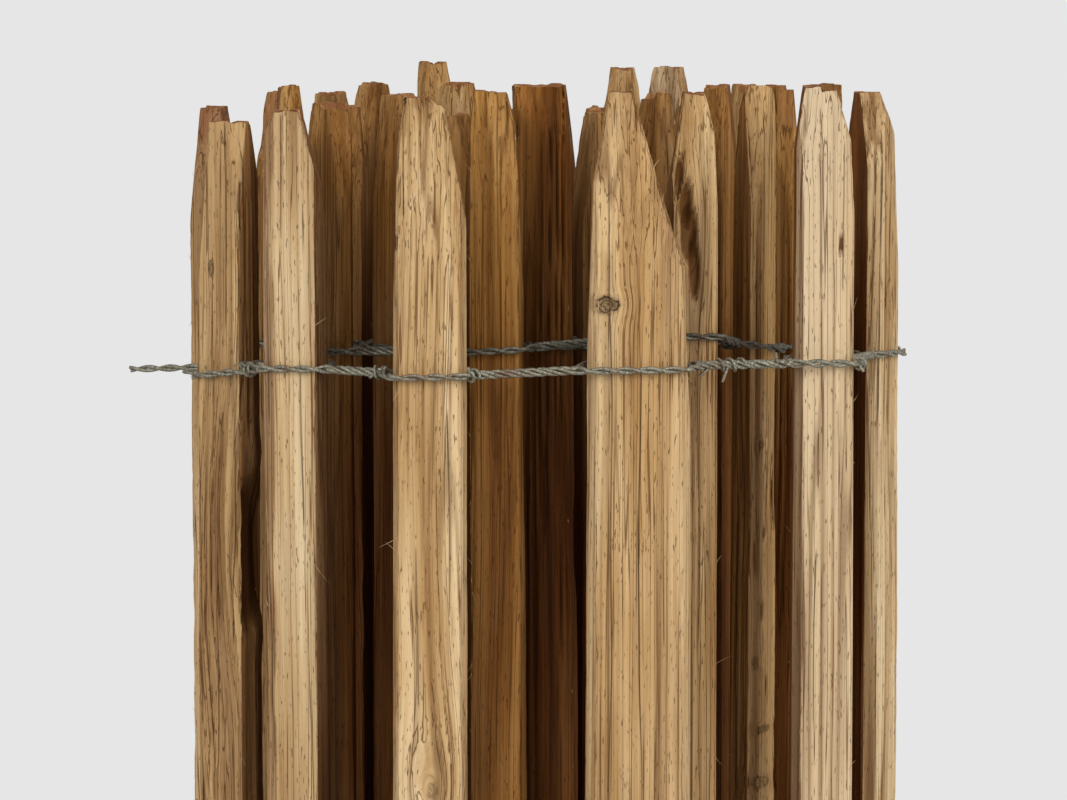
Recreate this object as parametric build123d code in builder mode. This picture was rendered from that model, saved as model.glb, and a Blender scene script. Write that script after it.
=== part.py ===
from build123d import *
import os
from math import cos, degrees, pi, radians, sin, sqrt

# A rolled-up cleft chestnut paling fence standing on its feet.
# Millimetres, Z up, feet at zero, the photographed front towards -Y.

# the roll
fence_height = 902.0       # from the feet to the tip of the tallest pale
core_radius = 22.0         # from the roll's axis to the middle of the innermost pale
turn_step = 32.0           # how much further out each turn lies
first_angle = -100.0       # where the outermost pale stands, 0 is the front, + is to the right

# the line wire: two pairs of round wires, each pair twisted into one cord
wire_gauge = 2.0           # one round wire
wires_in_pair = 2
top_line_below = 139.0     # from the tallest tip down to the top line
bottom_line_height = 148.0 # from the feet up to the bottom line
bottom_line_calm = 0.5     # share of the top line's rise and fall that the bottom line has
rope_start = 5.0           # from the side of a pale to where the two pairs meet
pair_clearance = 0.8       # between the two pairs of one line
wrap_clearance = 0.35      # between a wire and the pale that it goes round
least_bend = 1.0           # degrees, a cord runs straight on past a smaller one
top_tail_reach = 46.0      # the torn end of the top line stands out to the left from beside
top_tail_back = 15.0       # the second pale, goes back by this much on the way
top_tail_fall = 3.0        # and comes down by this much
bottom_tail_reach = 16.0   # the short end of the bottom line at the same place
core_end_reach = 12.0      # both lines' ends beside the innermost pale

# One row for each pale from the outer end to the core of the roll. All in mm and degrees:
# gap: clear space to the pale before. wide, deep: its section along and across the turn.
# turn: how far it has rolled round in its loops. drop: its tip below the tallest tip.
# low, high, outer, inner: the tip's tapers on its four sides, each as one or two cuts of
# (length down the pale, how far the cut comes in at the tip). The sides are set out from the
# way that the pale looks out of the roll, or from aim: low to its left, high to its right.
# rise: how far the wire crosses it above its line. lift: extra height of the back pair.
# out: how far it stands out of its turn. lean: sideways shift of its tip along the turn.
usual = dict(form="heart", turn=0, drop=8, low=[(60, 7)], high=[(54, 8)], outer=[(60, 5)],
             inner=[(52, 6)], aim=None, rise=0, lift=0, out=0, lean=0)
rows = [
    dict(gap=0, wide=30, deep=22, form="slab", turn=4, drop=18, rise=-20, out=9,
         low=[(60, 4)], high=[(46, 7)]),
    dict(gap=51, wide=30, deep=24, form="slab", turn=-45, drop=20, rise=-12, lift=5, out=5,
         aim=0, low=[(92, 7)], high=[(30, 4)]),
    dict(gap=38.5, wide=32, deep=24, form="slab", turn=-32, drop=11, out=6, aim=0,
         low=[(94, 5), (28, 9)], high=[(130, 7), (60, 16)]),
    dict(gap=39.5, wide=38, deep=22, form="slab", turn=-18, drop=2, rise=-1, out=2, aim=0,
         low=[(98, 3), (45, 6)], high=[(60, 11), (14, 18)], outer=[(90, 6)]),
    dict(gap=57, wide=52, deep=24, form="slab", turn=16, drop=0, rise=4, aim=0,
         low=[(124, 4), (60, 10)], high=[(158, 9), (98, 28)], outer=[(80, 6)]),
    dict(gap=60, wide=33, deep=20, form="slab", turn=44, drop=0, out=15, aim=0,
         low=[(32, 4)], high=[(80, 4), (36, 11)]),
    dict(gap=53.5, wide=29, deep=25, form="wedge", turn=88, drop=8, rise=-6, out=17, aim=0,
         low=[(25, 3)], high=[(90, 4), (30, 11)], outer=[(40, 6)]),
    dict(gap=52.5, wide=32, deep=22, turn=20, drop=9, rise=-4, out=17),
    dict(gap=59.5, wide=34, deep=22, form="slab", turn=-4, drop=3, rise=2, out=9,
         low=[(60, 9)], high=[(50, 9)]),
    dict(gap=28, wide=32, deep=22, form="wedge", turn=12, drop=13, rise=3, out=5),
    dict(gap=34, wide=32, deep=22, form="quarter", turn=-7, drop=0, low=[(60, 9)]),
    dict(gap=32, wide=32, deep=22, turn=9, drop=14, rise=-3, out=8),
    dict(gap=20, wide=30, deep=22, form="slab", turn=-5, drop=11, rise=-5, out=10),
    dict(gap=28.5, wide=30, deep=22, form="quarter", turn=7, drop=4, rise=-2),
    dict(gap=28.5, wide=33, deep=22, turn=-16, drop=10, rise=3),
    dict(gap=64.5, wide=31, deep=22, form="slab", turn=-8, drop=1, rise=9, out=-1.5, aim=0,
         low=[(50, 4)], high=[(103, 5), (34, 9)]),
    dict(gap=72, wide=29, deep=21, form="slab", turn=25, drop=3, rise=15, aim=0,
         low=[(60, 9)], high=[(70, 3), (30, 7)]),
    dict(gap=25.5, wide=26, deep=22, form="wedge", turn=60, drop=2, rise=2, aim=0,
         low=[(58, 4), (28, 6)], high=[(20, 2)]),
    dict(gap=28, wide=30, deep=21, form="quarter", turn=-14, drop=5, rise=-3),
    dict(gap=30.5, wide=31, deep=22, turn=7, drop=8, rise=-4),
    dict(gap=52, wide=31, deep=22, form="slab", turn=-5, drop=2, rise=2, low=[(60, 9)]),
    dict(gap=60, wide=32, deep=22, form="wedge", turn=16, drop=9, rise=5),
    dict(gap=30, wide=30, deep=22, turn=-12, drop=7, rise=3),
    dict(gap=25, wide=28, deep=22, form="quarter", turn=15, drop=16, rise=-2),
    dict(gap=43.5, wide=28, deep=22, form="slab", turn=-17, drop=6, rise=4),
    dict(gap=56, wide=34, deep=24, form="slab", turn=3, drop=0, rise=9, lean=-9,
         low=[(40, 2)], high=[(30, 3)], outer=[(30, 3)], inner=[(40, 4)]),
    dict(gap=25, wide=28, deep=22, form="wedge", turn=-16, drop=5, rise=6),
    dict(gap=34, wide=28, deep=22, turn=15, drop=4, rise=2),
    dict(gap=28.5, wide=28, deep=22, form="quarter", turn=-15, drop=18, rise=-2),
    dict(gap=33.5, wide=30, deep=22, form="slab", turn=6, drop=21, rise=1),
    dict(gap=32, wide=28, deep=22, form="wedge", turn=-17, drop=19, rise=4),
    dict(gap=29.5, wide=28, deep=22, turn=14, drop=22, rise=2),
    dict(gap=49, wide=30, deep=22, form="quarter", turn=-6, drop=17, rise=5),
    dict(gap=48.5, wide=30, deep=22, form="slab", turn=17, drop=16, rise=3),
    dict(gap=45.5, wide=28, deep=22, form="wedge", turn=-14, drop=24, rise=-2),
    dict(gap=57.5, wide=28, deep=20, turn=16, drop=20, rise=0),
    dict(gap=58.5, wide=27, deep=20, form="quarter", turn=-5, drop=26, rise=2),
    dict(gap=31, wide=27, deep=20, form="heart", turn=5, drop=23, rise=-5),
]
rows = [{**usual, **row} for row in rows]

# Corners of each cleft section as shares of its width and depth, +y away from the axis.
forms = dict(
    slab=[(-0.40, 0.5), (0.42, 0.5), (0.5, 0.06), (0.38, -0.5), (-0.44, -0.5), (-0.5, 0.10)],
    wedge=[(-0.16, 0.5), (0.12, 0.5), (0.5, -0.14), (0.42, -0.5), (-0.45, -0.5), (-0.5, -0.05)],
    heart=[(-0.42, 0.5), (0.40, 0.5), (0.5, 0.18), (0.14, -0.5), (-0.18, -0.5), (-0.5, 0.12)],
    quarter=[(-0.44, 0.5), (0.10, 0.5), (0.5, -0.10), (0.44, -0.5), (-0.20, -0.5), (-0.5, 0.20)],
)
foot_share = 1.0           # section at the foot
waist_height = 420.0       # where a pale is a little fuller
waist_share = 1.03
head_share = 0.97          # section at the height of the tip, before the tapers

# A six-sided cord has the cross section of the round wires that it stands for.
cord_area = wires_in_pair * pi * (wire_gauge / 2) ** 2
cord_side = sqrt(2 * cord_area / (3 * sqrt(3)))
cord_half_depth = cord_side * cos(pi / 6)
pair_rise = 2 * cord_side + pair_clearance
stand_off = cord_half_depth + wrap_clearance


def radius_after(wound):
    return core_radius + turn_step * wound / 360


def wind_roll():
    """Give each pale its angle and radius, winding outwards from gap to gap."""
    wound = 0.0
    ways = [wound]
    for inner, outer in zip(rows[:0:-1], rows[-2::-1]):
        stride = inner["gap"] + (inner["wide"] + outer["wide"]) / 2
        guess = degrees(stride / radius_after(wound))
        wound += degrees(stride / radius_after(wound + guess / 2))
        ways.append(wound)
    for row, way in zip(rows, reversed(ways)):
        row["angle"] = first_angle + wound - way
        row["radius"] = radius_after(way)


def spot_of(row):
    """The plane of a pale's foot, x along the turn and y away from the axis."""
    angle = row["angle"]
    radius = row["radius"] + row["out"]
    out_x = sin(radians(angle))
    out_y = -cos(radians(angle))
    along = Vector(-out_y, out_x, 0)
    return Plane(origin=(radius * out_x, radius * out_y, 0), x_dir=along, z_dir=(0, 0, 1))


def flip(point):
    # the plane's own y points towards the axis, the sections count away from it
    return (point[0], -point[1])


def section(row, share=1.0, shift=0.0):
    turn = radians(row["turn"])
    points = []
    for x_share, y_share in forms[row["form"]]:
        x = x_share * row["wide"] * share
        y = y_share * row["deep"] * share
        points.append((x * cos(turn) - y * sin(turn) + shift, x * sin(turn) + y * cos(turn)))
    return points


def cleave_pale(row, spot):
    top = fence_height - row["drop"]
    levels = [(0.0, foot_share), (waist_height, waist_share), (top, head_share)]
    with BuildPart() as pale:
        for height, share in levels:
            shift = row["lean"] * height / top
            with BuildSketch(spot.offset(height)):
                with BuildLine():
                    Polyline(*[flip(p) for p in section(row, share, shift)], close=True)
                make_face()
        loft(ruled=True)
        taper_tip(row, spot, top)
    return pale


def taper_tip(row, spot, top):
    """Cut the tapers, each a plane from the pale's side up to the narrowed tip."""
    corners = section(row, head_share, row["lean"])
    aim = 0 if row["aim"] is None else row["aim"] - row["angle"]
    sides = [(row["outer"], 0), (row["high"], 90), (row["inner"], 180), (row["low"], 270)]
    for cuts, quarter in sides:
        way_x = sin(radians(aim + quarter))
        way_y = cos(radians(aim + quarter))
        reach = max(x * way_x + y * way_y for x, y in corners)
        for length, comes_in in cuts:
            at = reach - comes_in
            point = spot.from_local_coords((*flip((way_x * at, way_y * at)), top))
            slope = spot.from_local_coords((*flip((way_x * length, way_y * length)), comes_in))
            split(bisect_by=Plane(origin=point, z_dir=slope - spot.origin), keep=Keep.BOTTOM)


def lean_at(row, height):
    return row["lean"] * height / (fence_height - row["drop"])


def wrap_corners(row, height):
    """The pale's corners moved out so that a cord's middle line can pass them."""
    points = section(row, waist_share, lean_at(row, height))
    moved = []
    for index, point in enumerate(points):
        before = points[index - 1]
        after = points[(index + 1) % len(points)]
        into = Vector(point[0] - before[0], point[1] - before[1], 0).normalized()
        away = Vector(after[0] - point[0], after[1] - point[1], 0).normalized()
        first = Vector(-into.Y, into.X, 0)
        second = Vector(-away.Y, away.X, 0)
        both = first + second
        reach = both * (stand_off / both.dot(first))
        moved.append((point[0] + reach.X, point[1] + reach.Y))
    return moved


def taut(points, side):
    """The shortest way over the points from the first to the last, on the outer (1) or
    inner (-1) side."""
    path = []
    for point in sorted(points):
        while len(path) > 1 and side * turn_of(path[-2], path[-1], point) >= 0:
            path.pop()
        path.append(point)
    return path


def turn_of(a, b, c):
    return (b[0] - a[0]) * (c[1] - a[1]) - (b[1] - a[1]) * (c[0] - a[0])


def rope_ends(row, height):
    corners = section(row, waist_share, lean_at(row, height))
    low = min(x for x, y in corners) - rope_start
    high = max(x for x, y in corners) + rope_start
    return (low, 0.0), (high, 0.0)


def crossing(row, side, height):
    start, end = rope_ends(row, height)
    return taut([start, *wrap_corners(row, height), end], side)


def hook(row, is_first, height):
    """The outer pair goes over an end pale, round its far side and back along its inside."""
    corners = wrap_corners(row, height)
    start, end = rope_ends(row, height)
    if is_first:
        way = [*corners[3:], *corners[:2], end]
    else:
        way = [start, *corners[:5]]
    return way


def levels_of(height, calm, pair):
    """The height at which a pair crosses the middle of each pale."""
    levels = []
    for row in rows:
        level = height + row["rise"] * calm
        if pair == "back":
            level += pair_rise + row["lift"] * calm
        levels.append(level)
    return levels


def level_at(levels, index, along):
    """The height of a pair at a place along the turn, on its way to the next pale."""
    step = 1 if along > 0 else -1
    other = min(max(index + step, 0), len(rows) - 1)
    later = rows[max(index, other)]
    stride = later["gap"] + (rows[index]["wide"] + rows[other]["wide"]) / 2
    return levels[index] + (levels[other] - levels[index]) * abs(along) / stride


def line_route(height, calm, pair, outer_tail):
    """Points along one pair of a line wire, from the outer end to the core."""
    levels = levels_of(height, calm, pair)
    last = len(rows) - 1
    route = []
    for index, (row, spot) in enumerate(zip(rows, spots)):
        is_end = index in (0, last)
        if pair == "back" and is_end:
            continue
        if is_end:
            way = hook(row, index == 0, height)
        else:
            way = crossing(row, 1 if pair == "front" else -1, height)
        for point in way:
            level = level_at(levels, index, point[0])
            route.append(spot.from_local_coords((*flip(point), level)))
    if pair == "back":
        route.insert(0, route[0] + outer_tail)
        route.append(route[-1] + core_end)
    return route


def straighten(route):
    """The route without the points where it hardly bends."""
    kept = [route[0]]
    for point, after in zip(route[1:], route[2:]):
        if (point - kept[-1]).get_angle(after - point) > least_bend:
            kept.append(point)
    kept.append(route[-1])
    return kept


def lay_cord(route):
    """A six-sided cord along the route, mitred at each bend."""
    run = (route[1] - route[0]).normalized()
    level_across = run.cross(Vector(0, 0, 1)).normalized()
    with BuildPart() as cord:
        with BuildLine():
            Polyline(*straighten(route))
        with BuildSketch(Plane(origin=route[0], x_dir=level_across, z_dir=run)):
            RegularPolygon(cord_side, 6, rotation=30)
        sweep(transition=Transition.RIGHT)
    return cord


wind_roll()
spots = [spot_of(row) for row in rows]
top_tail = Vector(-top_tail_reach, top_tail_back, -top_tail_fall)
bottom_tail = Vector(-bottom_tail_reach, 0, 0)
core_end = Vector(0, -core_end_reach, 0)
top_line_height = fence_height - top_line_below

pieces = {}
for index, (row, spot) in enumerate(zip(rows, spots)):
    pieces[f"pale_{index + 1:02d}"] = cleave_pale(row, spot)
lines = [("top_line", top_line_height, 1.0, top_tail),
         ("bottom_line", bottom_line_height, bottom_line_calm, bottom_tail)]
for line, height, calm, outer_tail in lines:
    for pair in ("front", "back"):
        pieces[f"{line}_{pair}"] = lay_cord(line_route(height, calm, pair, outer_tail))

# the origin is the middle of the whole roll's outline, on the ground
boxes = [piece.part.bounding_box() for piece in pieces.values()]
middle_x = (min(box.min.X for box in boxes) + max(box.max.X for box in boxes)) / 2
middle_y = (min(box.min.Y for box in boxes) + max(box.max.Y for box in boxes)) / 2

os.makedirs("parts", exist_ok=True)
for name, piece in pieces.items():
    piece.part.locate(Location((-middle_x, -middle_y, 0)))
    piece.part.label = name
    export_step(piece.part, f"parts/{name}.step")
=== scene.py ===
import math
import bmesh
import bpy
import numpy as np
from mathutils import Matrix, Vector


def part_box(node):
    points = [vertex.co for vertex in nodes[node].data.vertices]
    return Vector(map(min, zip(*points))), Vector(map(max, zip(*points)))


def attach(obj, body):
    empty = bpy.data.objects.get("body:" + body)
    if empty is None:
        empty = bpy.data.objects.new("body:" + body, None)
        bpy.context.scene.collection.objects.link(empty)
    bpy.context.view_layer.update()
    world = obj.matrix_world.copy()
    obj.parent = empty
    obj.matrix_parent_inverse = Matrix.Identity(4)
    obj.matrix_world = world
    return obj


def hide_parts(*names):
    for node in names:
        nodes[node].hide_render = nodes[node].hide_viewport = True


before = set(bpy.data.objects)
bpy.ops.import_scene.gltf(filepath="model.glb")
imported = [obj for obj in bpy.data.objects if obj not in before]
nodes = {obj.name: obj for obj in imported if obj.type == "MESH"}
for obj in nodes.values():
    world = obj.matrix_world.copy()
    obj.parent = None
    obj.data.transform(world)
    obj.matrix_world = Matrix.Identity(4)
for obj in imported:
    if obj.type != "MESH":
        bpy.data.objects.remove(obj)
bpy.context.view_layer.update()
print("frame loaded with", len(nodes), "nodes")

rollAxis = Vector((0.0147, 0.0021, 0.0))  # the upright line round which the fence is rolled
shot = {
    "width": 1067,  # the photograph's pixels
    "height": 800,
    "place": (0.0073, -2.3979, 1.031),
    "pitch": 7.07,  # degrees below level
    "lens": 158.15,
    "sensor": 36.0,
    "nearest": 0.05,
    "farthest": 60.0,
}
focalPixels = shot["lens"] / shot["sensor"] * shot["width"]


def srgb(r, g, b):
    # a colour as seen, 0 to 255, made linear
    out = []
    for value in (r, g, b):
        share = value / 255
        out.append(share / 12.92 if share <= 0.04045 else ((share + 0.055) / 1.055) ** 2.4)
    return (*out, 1.0)


def photoPoint(column, row, depth):
    # the point at that pixel, on the upright plane y = depth
    pitch = math.radians(shot["pitch"])
    side = (column - shot["width"] / 2) / focalPixels
    rise = (shot["height"] / 2 - row) / focalPixels
    ahead = math.cos(pitch) + rise * math.sin(pitch)
    reach = (depth - shot["place"][1]) / ahead
    up = rise * math.cos(pitch) - math.sin(pitch)
    return Vector((shot["place"][0] + side * reach, depth, shot["place"][2] + up * reach))


def photoPixel(point):
    # the column and row at which a point shows
    pitch = math.radians(shot["pitch"])
    away = Vector(point) - Vector(shot["place"])
    ahead = away.y * math.cos(pitch) - away.z * math.sin(pitch)
    rise = away.z * math.cos(pitch) + away.y * math.sin(pitch)
    return (shot["width"] / 2 + focalPixels * away.x / ahead,
            shot["height"] / 2 - focalPixels * rise / ahead)


def newObject(name, data):
    item = bpy.data.objects.new(name, data)
    bpy.context.scene.collection.objects.link(item)
    return item


def newCamera():
    data = bpy.data.cameras.new("camera")
    data.lens = shot["lens"]
    data.sensor_width = shot["sensor"]
    data.clip_start = shot["nearest"]
    data.clip_end = shot["farthest"]
    camera = newObject("camera", data)
    camera.location = shot["place"]
    camera.rotation_euler = (math.radians(90 - shot["pitch"]), 0, 0)
    bpy.context.scene.camera = camera


newCamera()


# building blocks for materials and for node trees


def newMaterial(name):
    material = bpy.data.materials.new(name)
    material.use_nodes = True
    material.node_tree.nodes.clear()
    return material, material.node_tree


def addNode(tree, kind, feeds=None, **settings):
    # a node with its settings, and what feeds its inputs: another node's socket or a plain value
    node = tree.nodes.new(kind)
    for key, value in settings.items():
        setattr(node, key, value)
    for key, value in (feeds or {}).items():
        if isinstance(value, bpy.types.NodeSocket):
            tree.links.new(value, node.inputs[key])
        else:
            node.inputs[key].default_value = value
    return node


def mathNode(tree, operation, *values, clamp=False):
    node = addNode(tree, "ShaderNodeMath", dict(enumerate(values)),
                   operation=operation, use_clamp=clamp)
    return node.outputs[0]


def vectorNode(tree, operation, *values, scale=None):
    feeds = dict(enumerate(values))
    if scale is not None:
        feeds["Scale"] = scale
    node = addNode(tree, "ShaderNodeVectorMath", feeds, operation=operation)
    return node.outputs["Value" if operation == "LENGTH" else "Vector"]


def mixColour(tree, share, a, b, blend="MIX"):
    node = tree.nodes.new("ShaderNodeMix")
    node.data_type = "RGBA"
    node.blend_type = blend
    for index, value in ((0, share), (6, a), (7, b)):  # the factor and the two colours
        if isinstance(value, bpy.types.NodeSocket):
            tree.links.new(value, node.inputs[index])
        else:
            node.inputs[index].default_value = value
    return node.outputs[2]


def ramp(tree, value, stops):
    node = addNode(tree, "ShaderNodeValToRGB", {0: value})
    points = node.color_ramp.elements
    while len(points) < len(stops):
        points.new(0.5)
    for point, (place, colour) in zip(points, stops):
        point.position = place
        point.color = colour if isinstance(colour, tuple) else (colour, colour, colour, 1)
    return node.outputs[0]


def attribute(tree, name, output="Fac"):
    return addNode(tree, "ShaderNodeAttribute", attribute_name=name).outputs[output]


def stretchedNoise(tree, place, across, along, detail, rough=0.55, warp=0.0):
    # noise drawn out along the grain, across and along are how many waves to the metre
    mapping = addNode(tree, "ShaderNodeMapping", {"Vector": place,
                                                  "Scale": (across, across, along)})
    noise = addNode(tree, "ShaderNodeTexNoise", {
        "Vector": mapping.outputs[0], "Scale": 1.0, "Detail": detail, "Roughness": rough,
        "Distortion": warp})
    return noise.outputs[0]


def newTree(name, kind, inputs, outputs):
    # a node tree with its sockets, and the identifiers of those that go in
    tree = bpy.data.node_groups.new(name, kind)
    identifiers = {}
    for label, socketKind in inputs.items():
        socket = tree.interface.new_socket(label, in_out="INPUT",
                                           socket_type="NodeSocket" + socketKind)
        identifiers[label] = socket.identifier
    for label, socketKind in outputs.items():
        tree.interface.new_socket(label, in_out="OUTPUT",
                                  socket_type="NodeSocket" + socketKind)
    start = tree.nodes.new("NodeGroupInput")
    return tree, start.outputs, identifiers


def shadeSurface(tree, colour, wear, height, look):
    # wear, from 0 to 1, takes the roughness from its low to its high value
    low, high = look["roughness"]
    bump = addNode(tree, "ShaderNodeBump", {
        "Strength": look["bump"], "Distance": look["bumpReach"], "Height": height})
    shader = addNode(tree, "ShaderNodeBsdfPrincipled", {
        "Base Color": colour, "Metallic": look["metal"], "Specular IOR Level": look["specular"],
        "Roughness": mathNode(tree, "MULTIPLY_ADD", wear, high - low, low),
        "Normal": bump.outputs[0]})
    addNode(tree, "ShaderNodeOutputMaterial", {"Surface": shader.outputs[0]})


grainLook = {
    # waves to the metre across and along the grain, detail, roughness and warp of each pattern
    "patterns": {
        "streaks": (420.0, 6.0, 5, 0.6, 0.15),
        "fibres": (1500.0, 22.0, 3, 0.6, 0.0),
        "bands": (85.0, 2.6, 4, 0.5, 0.5),
        "blotches": (30.0, 8.0, 3, 0.5, 0.0),
        "seams": (400.0, 3.4, 2, 0.4, 0.1),
        "breaks": (190.0, 13.0, 2, 0.5, 0.0),
        "flecks": (1300.0, 190.0, 1, 0.5, 0.0),
    },
    "seamTightness": 10.0,
    "seam": [(0.05, 1.0), (0.24, 0.0)],  # a seam runs where its pattern is near its middle
    "parted": [(0.33, 0.0), (0.50, 1.0)],  # and breaks off here and there
    "fleck": [(0.66, 0.0), (0.73, 1.0)],
    "fleckShare": 0.85,
    "streakHeight": 0.8,
    "fibreHeight": 0.4,
    "lineDepth": 0.7,
}


def makeGrainGroup():
    # masks of cleft wood: soft streaks, fine fibres, thin broken seams and short flecks
    look = grainLook
    labels = ("Streaks", "Fibres", "Bands", "Blotches", "Lines", "Height")
    group, start, _ = newTree("cleftGrain", "ShaderNodeTree", {"Place": "Vector"},
                              {label: "Float" for label in labels})
    noise = {name: stretchedNoise(group, start["Place"], *pattern)
             for name, pattern in look["patterns"].items()}
    away = mathNode(group, "ABSOLUTE", mathNode(group, "SUBTRACT", noise["seams"], 0.5))
    seam = ramp(group, mathNode(group, "MULTIPLY", away, look["seamTightness"]), look["seam"])
    parted = ramp(group, noise["breaks"], look["parted"])
    fleck = ramp(group, noise["flecks"], look["fleck"])
    lines = mathNode(group, "MAXIMUM", mathNode(group, "MULTIPLY", seam, parted),
                     mathNode(group, "MULTIPLY", fleck, look["fleckShare"]))
    raised = mathNode(group, "ADD", mathNode(group, "MULTIPLY", noise["streaks"],
                                             look["streakHeight"]),
                      mathNode(group, "MULTIPLY", noise["fibres"], look["fibreHeight"]))
    height = mathNode(group, "SUBTRACT", raised,
                      mathNode(group, "MULTIPLY", lines, look["lineDepth"]))
    addNode(group, "NodeGroupOutput", {
        "Streaks": noise["streaks"], "Fibres": noise["fibres"], "Bands": noise["bands"],
        "Blotches": noise["blotches"], "Lines": lines, "Height": height})
    return group


grainGroup = makeGrainGroup()


def useGrain(tree, place):
    return addNode(tree, "ShaderNodeGroup", {"Place": place}, node_tree=grainGroup).outputs


chestnutLook = {
    # light, middle and dark tone of fresh, golden and old wood, the old wood's tones also
    # standing for painted shade on faces turned from the light
    "beige": (srgb(228, 202, 160), srgb(203, 169, 121), srgb(160, 119, 71)),
    "tan": (srgb(212, 166, 98), srgb(179, 129, 61), srgb(128, 79, 26)),
    "brown": (srgb(146, 88, 30), srgb(106, 58, 14), srgb(64, 30, 5)),
    # paler wood, also laid as painted light on faces turned to the light
    "bleachedAndLit": srgb(240, 220, 186),
    "red": srgb(134, 80, 52),
    "line": srgb(96, 57, 20),
    "knot": srgb(44, 26, 13),
    "deep": (0.33, 0.18, 0.07, 1.0),  # what painted shade leaves of each colour deep in the roll
    "lineShare": 0.8,
    "bandStops": (0.36, 0.50, 0.68),
    "streak": [(0.44, 0.0), (0.64, 1.0)],
    "streakShare": 0.5,
    "fibre": [(0.40, 0.0), (0.66, 1.0)],
    "patchStrength": (1.1, 0.6),  # how far blotches shift the tan, and then the brown
    "crackSharpness": 900.0,
    "crack": [(0.10, 1.0), (0.42, 0.0)],
    "crackBreaks": [(0.3, 1.0), (0.62, 0.35)],
    "metal": 0.0,
    "specular": 0.12,
    "roughness": (0.60, 0.88),
    "bump": 0.7,
    "bumpReach": 0.0011,
}
knotLook = {
    "waves": 1.5,  # to a half size of the knot
    "warp": 1.1,
    "reach": 1.6,  # half sizes out to which the rings are drawn
    "rings": [(0.0, 0.95), (0.16, 0.35), (0.29, 0.9), (0.40, 0.4), (0.55, 1.0), (0.66, 0.35),
              (0.92, 0.0)],
}


def threeTones(tree, grain, tones, fibreShare):
    light, _, dark = tones
    look = chestnutLook
    base = ramp(tree, grain["Bands"], list(zip(look["bandStops"], tones)))
    streaks = mathNode(tree, "MULTIPLY", ramp(tree, grain["Streaks"], look["streak"]),
                       look["streakShare"])
    fibres = mathNode(tree, "MULTIPLY", ramp(tree, grain["Fibres"], look["fibre"]), fibreShare)
    return mixColour(tree, fibres, mixColour(tree, streaks, base, dark), light)


def knotRings(tree):
    # knotAt holds how far beside a knot and above it a point lies, and how dark the knot is
    place = attribute(tree, "knotAt", "Vector")
    side, rise, darkness = addNode(tree, "ShaderNodeSeparateXYZ", {0: place}).outputs
    flat = addNode(tree, "ShaderNodeCombineXYZ", {0: side, 1: rise})
    noise = addNode(tree, "ShaderNodeTexNoise",
                    {"Vector": place, "Scale": knotLook["waves"], "Detail": 3.0})
    warp = knotLook["warp"]
    bend = vectorNode(tree, "MULTIPLY_ADD", noise.outputs["Color"], (warp, warp, 0.0),
                      (-warp / 2, -warp / 2, 0.0))
    away = vectorNode(tree, "LENGTH", vectorNode(tree, "ADD", flat.outputs[0], bend))
    rings = ramp(tree, mathNode(tree, "DIVIDE", away, knotLook["reach"]), knotLook["rings"])
    return mathNode(tree, "MULTIPLY", rings, darkness)


def makeChestnut():
    # the attributes are painted on each pale: how tan, brown (partly painted shade), bleached
    # (partly painted light) or red it is, knots, hollows, how much painted shade it gets deep in
    # the roll, how far in metres its nearest crack is to one side, and whether that crack runs
    # there
    material, tree = newMaterial("cleftChestnut")
    look = chestnutLook
    grain = useGrain(tree, attribute(tree, "grain", "Vector"))
    tanPatch, brownPatch = look["patchStrength"]
    patch = mathNode(tree, "MULTIPLY", mathNode(tree, "SUBTRACT", grain["Blotches"], 0.5),
                     tanPatch)
    tan = mathNode(tree, "ADD", attribute(tree, "tan"), patch, clamp=True)
    # brown: partly the old faces' own colour, partly painted shade on faces turned from the light
    brown = mathNode(tree, "ADD", attribute(tree, "brown"),
                     mathNode(tree, "MULTIPLY", patch, brownPatch), clamp=True)
    colour = mixColour(tree, tan, threeTones(tree, grain, look["beige"], 0.35),
                       threeTones(tree, grain, look["tan"], 0.3))
    colour = mixColour(tree, brown, colour, threeTones(tree, grain, look["brown"], 0.25))
    # paled lit faces: partly bleached wood, partly painted light
    colour = mixColour(tree, attribute(tree, "bleachAndLight"), colour, look["bleachedAndLit"])
    colour = mixColour(tree, attribute(tree, "red"), colour, look["red"])
    lines = mathNode(tree, "MULTIPLY", grain["Lines"], look["lineShare"])
    colour = mixColour(tree, lines, colour, look["line"])
    colour = mixColour(tree, attribute(tree, "hollow"), colour, look["line"])
    aside = mathNode(tree, "MULTIPLY", mathNode(tree, "ABSOLUTE", attribute(tree, "crack")),
                     look["crackSharpness"])
    split = mathNode(tree, "MULTIPLY", ramp(tree, aside, look["crack"]),
                     attribute(tree, "cracked"))
    crack = mathNode(tree, "MULTIPLY", split, ramp(tree, grain["Streaks"], look["crackBreaks"]))
    colour = mixColour(tree, crack, colour, look["knot"])
    colour = mixColour(tree, knotRings(tree), colour, look["knot"])
    # painted shade, deep in the roll and on faces towards its middle
    colour = mixColour(tree, attribute(tree, "deep"), colour,
                       mixColour(tree, 1.0, colour, look["deep"], "MULTIPLY"))
    height = mathNode(tree, "SUBTRACT", grain["Height"], crack)
    shadeSurface(tree, colour, grain["Streaks"], height, look)
    return material


endLook = {
    "face": (srgb(186, 140, 92), srgb(152, 104, 62), srgb(104, 64, 34)),
    "lineShare": 0.6,
    "metal": 0.0,
    "specular": 0.12,
    "roughness": (0.7, 0.95),
    "bump": 0.5,
    "bumpReach": 0.0008,
}


def makeEndWood():
    # the cut tips and feet, browner and rougher than the cleft sides
    material, tree = newMaterial("chestnutEnds")
    grain = useGrain(tree, attribute(tree, "grain", "Vector"))
    colour = threeTones(tree, grain, endLook["face"], 0.3)
    colour = mixColour(tree, attribute(tree, "red"), colour, chestnutLook["red"])
    lines = mathNode(tree, "MULTIPLY", grain["Lines"], endLook["lineShare"])
    colour = mixColour(tree, lines, colour, chestnutLook["line"])
    shadeSurface(tree, colour, grain["Streaks"], grain["Height"], endLook)
    return material


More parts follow.
